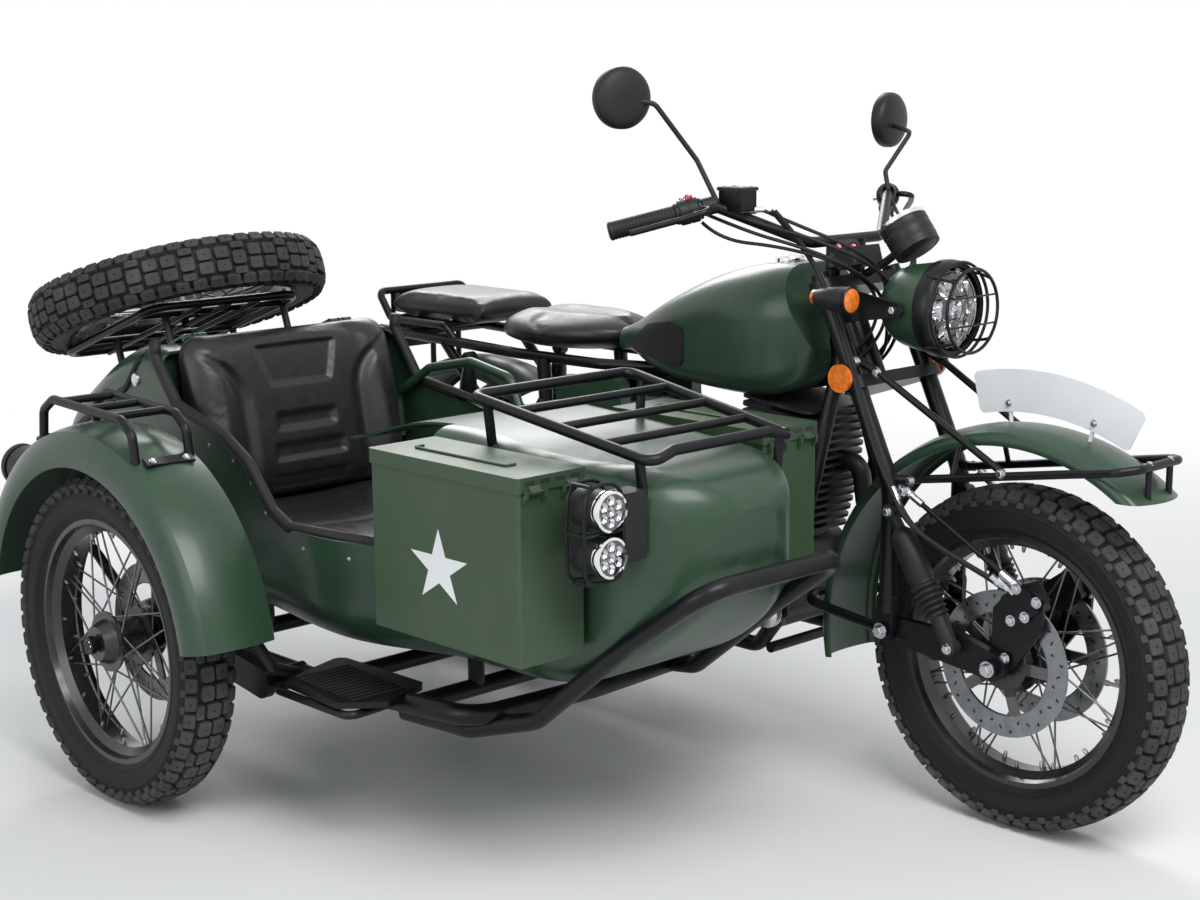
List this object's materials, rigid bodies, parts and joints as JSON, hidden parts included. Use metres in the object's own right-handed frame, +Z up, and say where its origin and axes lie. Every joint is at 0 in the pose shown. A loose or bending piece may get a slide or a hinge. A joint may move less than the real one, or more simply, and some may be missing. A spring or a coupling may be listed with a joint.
{
  "type": "sidecar motorcycle",
  "caption": "Retro motorcycle with a leading-link fork, and on its right a bathtub sidecar with seat, hinged side boxes, nose rack and a spare wheel on the trunk lid.",
  "frame": {"origin": "on the ground under the middle of the outline", "axes": "+X ahead, +Y to the rider's left, +Z up"},
  "size_m": [2.4459, 1.6921, 1.4277],
  "materials": {
    "olive_paint": "satin",
    "box_paint": "satin",
    "black_paint": "satin",
    "tyre": "matte",
    "chrome": "polished",
    "cast_alloy": "matte",
    "exhaust": "matte",
    "leather": "satin",
    "rubber": "matte",
    "plate_white": "satin",
    "orange_lens": "gloss",
    "black_plastic": "matte"
  },
  "bodies": {
    "machine": {"cockpit_coaming": "rubber", "engine_crankcase": "cast_alloy", "engine_cylinder": "cast_alloy", "exhaust_system": "exhaust", "fender_rack": "black_paint", "foot_controls": "black_paint", "fuel_cap": "chrome", "fuel_tank": "olive_paint", "grab_rail": "olive_paint", "knee_pads": "rubber", "main_frame": "black_paint", "nose_rack": "black_paint", "pillion_seat": "leather", "rear_fender": "olive_paint", "rear_rack": "black_paint", "rear_shocks": "black_paint", "rider_seat": "leather", "side_boxes": "box_paint", "side_covers": "olive_paint", "sidecar_body": "olive_paint", "sidecar_bumper": "black_paint", "sidecar_chassis": "black_paint", "sidecar_fender": "olive_paint", "sidecar_seat": "leather", "spotlights": "black_plastic", "swingarms": "black_paint", "tail_lights": "black_plastic"},
    "steering": {"fork": "black_paint", "leading_arms": "black_paint", "front_shocks": "black_paint", "handlebar": "black_paint", "mirrors": "black_plastic", "headlight": "olive_paint", "instruments": "black_plastic", "front_indicators": "orange_lens", "front_fender": "olive_paint", "fender_stays": "black_paint", "number_plate": "plate_white"},
    "front_wheel": {"front_wheel": "black_paint", "front_tyre": "tyre"},
    "rear_wheel": {"rear_wheel": "black_paint", "rear_tyre": "tyre"},
    "sidecar_wheel": {"sidecar_wheel": "black_paint", "sidecar_tyre": "tyre"},
    "box_lid_right": {"box_lid_right": "box_paint"},
    "box_lid_left": {"box_lid_left": "box_paint"},
    "trunk_lid": {"trunk_lid": "olive_paint", "spare_rack": "black_paint", "spare_tyre": "tyre", "spare_wheel": "black_paint"}
  },
  "joints": [
    {"name": "steering_turn", "type": "hinge", "parent": "machine", "child": "steering", "pos_m": [0.518, 0.37, 0.83], "axis": [-0.4226, 0, 0.9063], "range_deg": [-28, 28]},
    {"name": "front_wheel_spin", "type": "hinge", "parent": "steering", "child": "front_wheel", "pos_m": [0.893, 0.37, 0.33], "axis": [0, 1, 0], "continuous": true},
    {"name": "rear_wheel_spin", "type": "hinge", "parent": "machine", "child": "rear_wheel", "pos_m": [-0.657, 0.37, 0.33], "axis": [0, 1, 0], "continuous": true},
    {"name": "sidecar_wheel_spin", "type": "hinge", "parent": "machine", "child": "sidecar_wheel", "pos_m": [-0.435, -0.77, 0.33], "axis": [0, 1, 0], "continuous": true},
    {"name": "box_lid_right_hinge", "type": "hinge", "parent": "machine", "child": "box_lid_right", "pos_m": [0.584, -0.54, 0.747], "axis": [0, 1, 0], "range_deg": [0, 95]},
    {"name": "box_lid_left_hinge", "type": "hinge", "parent": "machine", "child": "box_lid_left", "pos_m": [0.584, 0.06, 0.747], "axis": [0, 1, 0], "range_deg": [0, 95]},
    {"name": "trunk_lid_hinge", "type": "hinge", "parent": "machine", "child": "trunk_lid", "pos_m": [-0.669, -0.24, 0.875], "axis": [0, 1, 0], "range_deg": [0, 35]}
  ]
}
